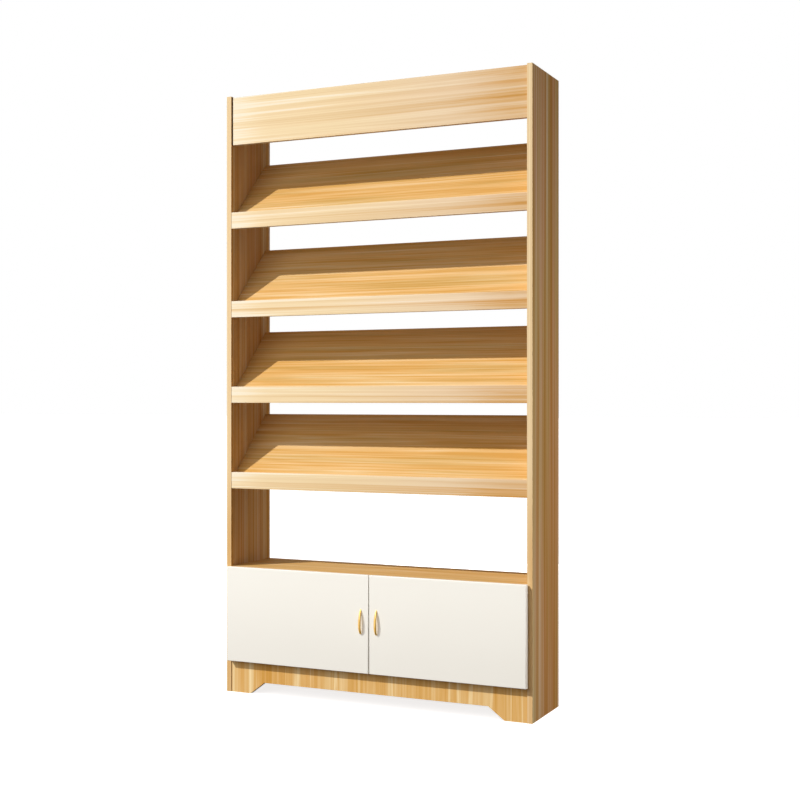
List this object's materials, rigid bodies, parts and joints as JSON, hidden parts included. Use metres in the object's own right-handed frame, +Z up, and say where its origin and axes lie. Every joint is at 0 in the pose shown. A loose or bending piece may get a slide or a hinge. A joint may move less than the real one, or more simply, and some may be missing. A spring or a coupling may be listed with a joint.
{
  "type": "periodical display rack",
  "caption": "Tall free-standing rack of light wood boards: sloped display tiers with stop rails between two side panels, an open shelf, and a low cupboard with hinged white doors.",
  "frame": {"origin": "on the floor, under the middle of the whole object's width and depth, doors and handles included", "axes": "+X to the right as seen from the front, +Y from the doors towards the back, +Z up"},
  "size_m": [1, 0.266, 1.845],
  "materials": {
    "light_wood_laminate": "satin melamine laminate with a straight, streaky light wood grain",
    "white_laminate": "warm white laminate on board, semi-gloss, softly rounded edges",
    "back_sheet": "thin printed hardboard, matt",
    "polished_brass": "polished, lacquered brass plate",
    "nickel_plate": "nickel-plated pressed steel",
    "clear_silicone": "frosted clear silicone"
  },
  "bodies": {
    "carcass": {"left_side_panel": "light_wood_laminate", "right_side_panel": "light_wood_laminate", "header_panel": "light_wood_laminate", "top_panel": "light_wood_laminate", "tier_1_front_rail": "light_wood_laminate", "tier_1_slope_board": "light_wood_laminate", "tier_2_front_rail": "light_wood_laminate", "tier_2_slope_board": "light_wood_laminate", "tier_3_front_rail": "light_wood_laminate", "tier_3_slope_board": "light_wood_laminate", "tier_4_front_rail": "light_wood_laminate", "tier_4_slope_board": "light_wood_laminate", "open_shelf": "light_wood_laminate", "cupboard_floor": "light_wood_laminate", "cupboard_divider": "light_wood_laminate", "cupboard_back": "back_sheet", "front_plinth": "light_wood_laminate", "rear_plinth": "light_wood_laminate", "left_upper_hinge_arm": "nickel_plate", "left_upper_hinge_plate": "nickel_plate", "left_lower_hinge_arm": "nickel_plate", "left_lower_hinge_plate": "nickel_plate", "right_upper_hinge_arm": "nickel_plate", "right_upper_hinge_plate": "nickel_plate", "right_lower_hinge_arm": "nickel_plate", "right_lower_hinge_plate": "nickel_plate", "left_upper_plate_screw_1": "nickel_plate", "left_upper_plate_screw_2": "nickel_plate", "left_lower_plate_screw_1": "nickel_plate", "left_lower_plate_screw_2": "nickel_plate", "right_upper_plate_screw_1": "nickel_plate", "right_upper_plate_screw_2": "nickel_plate", "right_lower_plate_screw_1": "nickel_plate", "right_lower_plate_screw_2": "nickel_plate"},
    "left_door": {"left_door": "white_laminate", "left_handle": "polished_brass", "left_upper_bumper": "clear_silicone", "left_lower_bumper": "clear_silicone", "left_upper_hinge_cup": "nickel_plate", "left_upper_hinge_pin": "nickel_plate", "left_lower_hinge_cup": "nickel_plate", "left_lower_hinge_pin": "nickel_plate", "left_upper_cup_screw_1": "nickel_plate", "left_upper_cup_screw_2": "nickel_plate", "left_lower_cup_screw_1": "nickel_plate", "left_lower_cup_screw_2": "nickel_plate"},
    "right_door": {"right_door": "white_laminate", "right_handle": "polished_brass", "right_upper_bumper": "clear_silicone", "right_lower_bumper": "clear_silicone", "right_upper_hinge_cup": "nickel_plate", "right_upper_hinge_pin": "nickel_plate", "right_lower_hinge_cup": "nickel_plate", "right_lower_hinge_pin": "nickel_plate", "right_upper_cup_screw_1": "nickel_plate", "right_upper_cup_screw_2": "nickel_plate", "right_lower_cup_screw_1": "nickel_plate", "right_lower_cup_screw_2": "nickel_plate"}
  },
  "joints": [
    {"name": "left_door_swing", "type": "hinge", "parent": "carcass", "child": "left_door", "pos_m": [-0.4807, -0.113, 0.244], "axis": [0, 0, -1], "range_deg": [0, 95]},
    {"name": "right_door_swing", "type": "hinge", "parent": "carcass", "child": "right_door", "pos_m": [0.4807, -0.113, 0.244], "axis": [0, 0, 1], "range_deg": [0, 95]}
  ]
}
